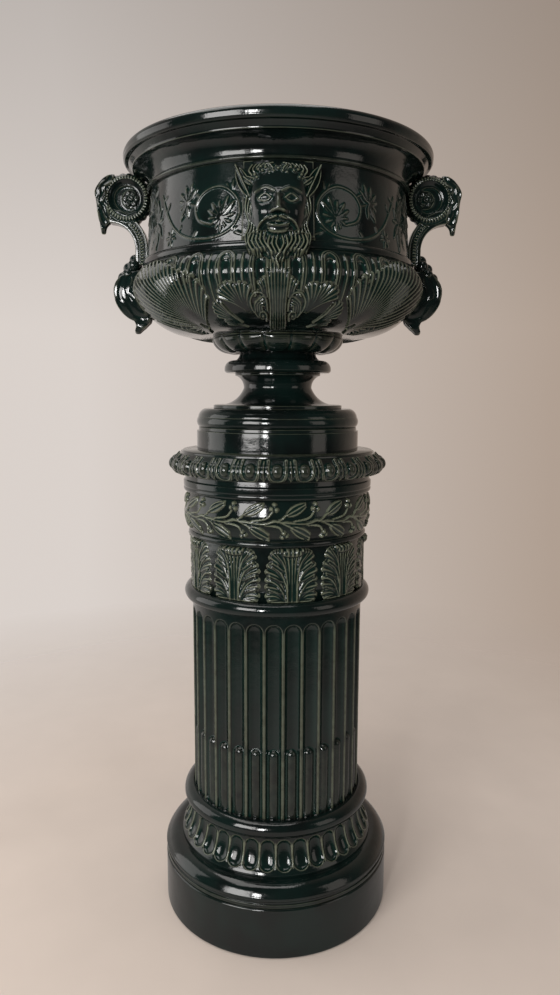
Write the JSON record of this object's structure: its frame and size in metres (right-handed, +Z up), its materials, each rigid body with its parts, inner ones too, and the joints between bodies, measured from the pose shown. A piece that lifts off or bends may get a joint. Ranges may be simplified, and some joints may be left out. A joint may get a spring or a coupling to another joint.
{
  "type": "jardiniere on stand",
  "caption": "Round footed jardiniere with scroll handles and bearded masks, lifting off a fluted column stand in dark green glazed earthenware.",
  "frame": {"origin": "centre of the stand's circular base, on the floor", "axes": "+Z up the column; -Y towards the front mask; handles along -X and +X"},
  "size_m": [0.5684, 0.4962, 1.2201],
  "materials": {
    "dark_green_glaze": "deep bottle-green lead glaze, glossy",
    "ornament_glaze": "the same glaze over relief, thin and olive on the raised edges, pooled green in the hollows"
  },
  "bodies": {
    "pedestal": {"base_drum": "dark_green_glaze", "base_moulding": "dark_green_glaze", "base_collar": "ornament_glaze", "lower_ring": "dark_green_glaze", "fluted_shaft": "ornament_glaze", "upper_ring": "dark_green_glaze", "capital_drum": "dark_green_glaze", "acanthus_leaves": "ornament_glaze", "astragal": "dark_green_glaze", "laurel_frieze": "dark_green_glaze", "laurel_spray": "ornament_glaze", "neck_band": "dark_green_glaze", "cap": "dark_green_glaze", "egg_and_dart": "ornament_glaze"},
    "jardiniere": {"foot_plinth": "dark_green_glaze", "foot_torus": "dark_green_glaze", "foot_shoulder": "dark_green_glaze", "foot_neck": "dark_green_glaze", "stem_disc": "dark_green_glaze", "gadroon_collar": "ornament_glaze", "bowl_base": "ornament_glaze", "waist_ring": "dark_green_glaze", "bowl_wall": "dark_green_glaze", "bowl_rim": "dark_green_glaze", "handle_scroll_left": "ornament_glaze", "handle_leaf_left": "ornament_glaze", "handle_terminal_left": "ornament_glaze", "handle_grapes_left": "ornament_glaze", "handle_rosettes_left": "ornament_glaze", "handle_scroll_right": "ornament_glaze", "handle_leaf_right": "ornament_glaze", "handle_terminal_right": "ornament_glaze", "handle_grapes_right": "ornament_glaze", "handle_rosettes_right": "ornament_glaze", "mask_front": "ornament_glaze", "mask_back": "ornament_glaze", "shell_fans": "ornament_glaze", "reeded_tongues": "ornament_glaze"}
  },
  "joints": [
    {"name": "jardiniere_lift", "type": "slide", "parent": "pedestal", "child": "jardiniere", "axis": [0, 0, 1], "range_m": [0, 0.3]}
  ]
}
